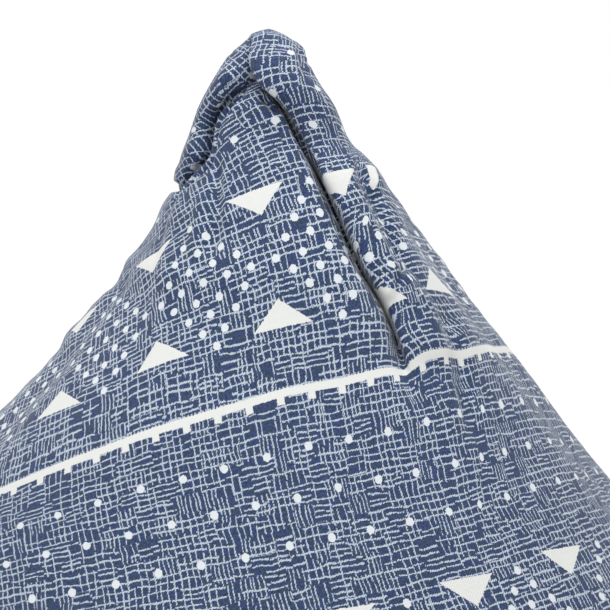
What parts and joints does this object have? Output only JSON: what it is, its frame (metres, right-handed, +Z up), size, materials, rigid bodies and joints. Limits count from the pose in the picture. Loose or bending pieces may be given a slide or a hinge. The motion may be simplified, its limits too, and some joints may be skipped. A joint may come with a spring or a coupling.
{
  "type": "peaked bean bag",
  "caption": "Large filled bean bag of printed cotton with a pinched peak, rolled folds framing the front, a crowned round body and a flat base to stand on.",
  "frame": {"origin": "centre of the bag's outline at the floor, on the flat base", "axes": "+Z up towards the peak, -Y towards the front with the folds, +X to the front's right"},
  "size_m": [0.8869, 0.8388, 0.82],
  "materials": {
    "printed_cotton": "matt cotton twill, navy ground under pale crosshatch lines with warm white triangles, dots and a toothed line"
  },
  "bodies": {
    "root": {"bag": "printed_cotton"}
  },
  "joints": []
}
